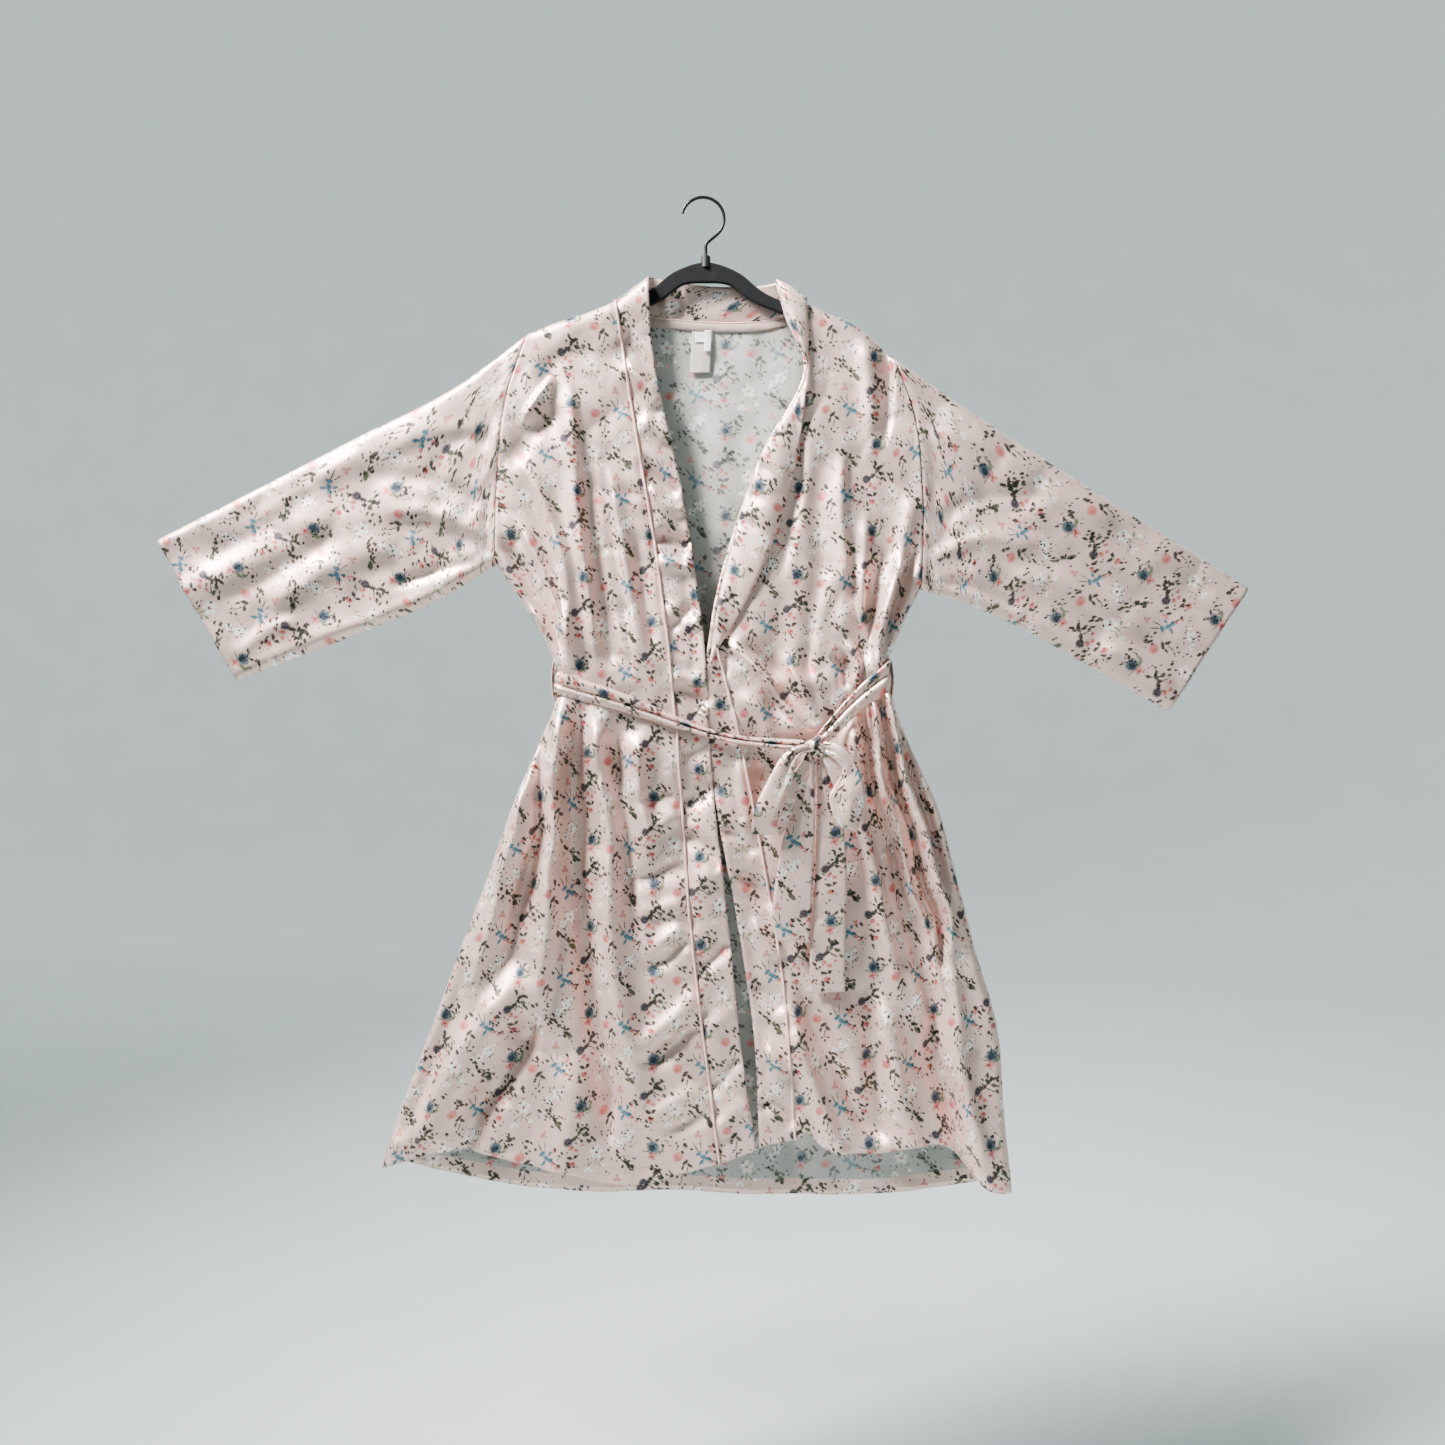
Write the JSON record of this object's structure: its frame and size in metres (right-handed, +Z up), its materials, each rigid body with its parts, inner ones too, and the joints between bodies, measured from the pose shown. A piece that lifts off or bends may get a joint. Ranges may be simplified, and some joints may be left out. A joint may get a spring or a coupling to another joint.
{
  "type": "patient gown",
  "caption": "Wrap-front gown in printed satin with set-in sleeves, piped front bands and a tie belt in a bow, on a slim flocked hanger.",
  "frame": {"origin": "seat of the hanger's hook, on the underside of its crown, in the hanger's middle plane", "axes": "+X to the viewer's right across the shoulders, +Z up, the front of the gown faces -Y"},
  "size_m": [1.109, 0.0707, 1.0228],
  "materials": {
    "print_satin": "satin",
    "plain_satin": "satin",
    "label_tape": "matte",
    "flocking": "matte",
    "black_wire": "satin",
    "black_plastic": "matte"
  },
  "bodies": {
    "hook": {"hook": "black_wire"},
    "gown": {"hanger_body": "flocking", "hook_collar": "black_plastic", "back_panel": "print_satin", "front_panel_left": "print_satin", "front_panel_right": "print_satin", "band_left": "print_satin", "band_right": "print_satin", "neck_band": "print_satin", "neck_piping": "plain_satin", "neck_binding": "plain_satin", "piping_left": "plain_satin", "piping_right": "plain_satin", "belt_back": "print_satin", "belt_front_left": "print_satin", "belt_front_right": "print_satin", "belt_loop_left": "print_satin", "belt_loop_right": "print_satin", "belt_knot": "print_satin"},
    "sleeve_left": {"sleeve_left": "print_satin"},
    "sleeve_right": {"sleeve_right": "print_satin"},
    "bow_loop_left": {"bow_loop_left": "print_satin"},
    "bow_loop_right": {"bow_loop_right": "print_satin"},
    "bow_tail_left": {"bow_tail_left": "print_satin"},
    "bow_tail_right": {"bow_tail_right": "print_satin"},
    "neck_labels": {"brand_label": "label_tape", "size_label": "label_tape", "care_label": "label_tape"}
  },
  "joints": [
    {"name": "hook_swivel", "type": "hinge", "parent": "hook", "child": "gown", "pos_m": [0.003, 0, -0.064], "axis": [0, 0, 1], "continuous": true},
    {"name": "sleeve_left_fold", "type": "hinge", "parent": "gown", "child": "sleeve_left", "pos_m": [-0.176, -0.0137, -0.137], "axis": [0.1426, 0, 0.9898], "range_deg": [0, 90]},
    {"name": "sleeve_right_fold", "type": "hinge", "parent": "gown", "child": "sleeve_right", "pos_m": [0.191, -0.0137, -0.161], "axis": [0.1251, 0, -0.9921], "range_deg": [0, 90]},
    {"name": "bow_loop_left_swing", "type": "hinge", "parent": "gown", "child": "bow_loop_left", "pos_m": [0.114, -0.0365, -0.558], "axis": [0, 1, 0], "range_deg": [-5, 30]},
    {"name": "bow_loop_right_swing", "type": "hinge", "parent": "gown", "child": "bow_loop_right", "pos_m": [0.114, -0.0365, -0.558], "axis": [0, 1, 0], "range_deg": [-30, 5]},
    {"name": "bow_tail_left_swing", "type": "hinge", "parent": "gown", "child": "bow_tail_left", "pos_m": [0.114, -0.0365, -0.558], "axis": [0, 1, 0], "range_deg": [-20, 20]},
    {"name": "bow_tail_right_swing", "type": "hinge", "parent": "gown", "child": "bow_tail_right", "pos_m": [0.114, -0.0365, -0.558], "axis": [0, 1, 0], "range_deg": [-20, 20]},
    {"name": "neck_labels_flip", "type": "hinge", "parent": "gown", "child": "neck_labels", "pos_m": [0, 0.008, -0.132], "axis": [-1, 0, 0], "range_deg": [0, 80]}
  ]
}
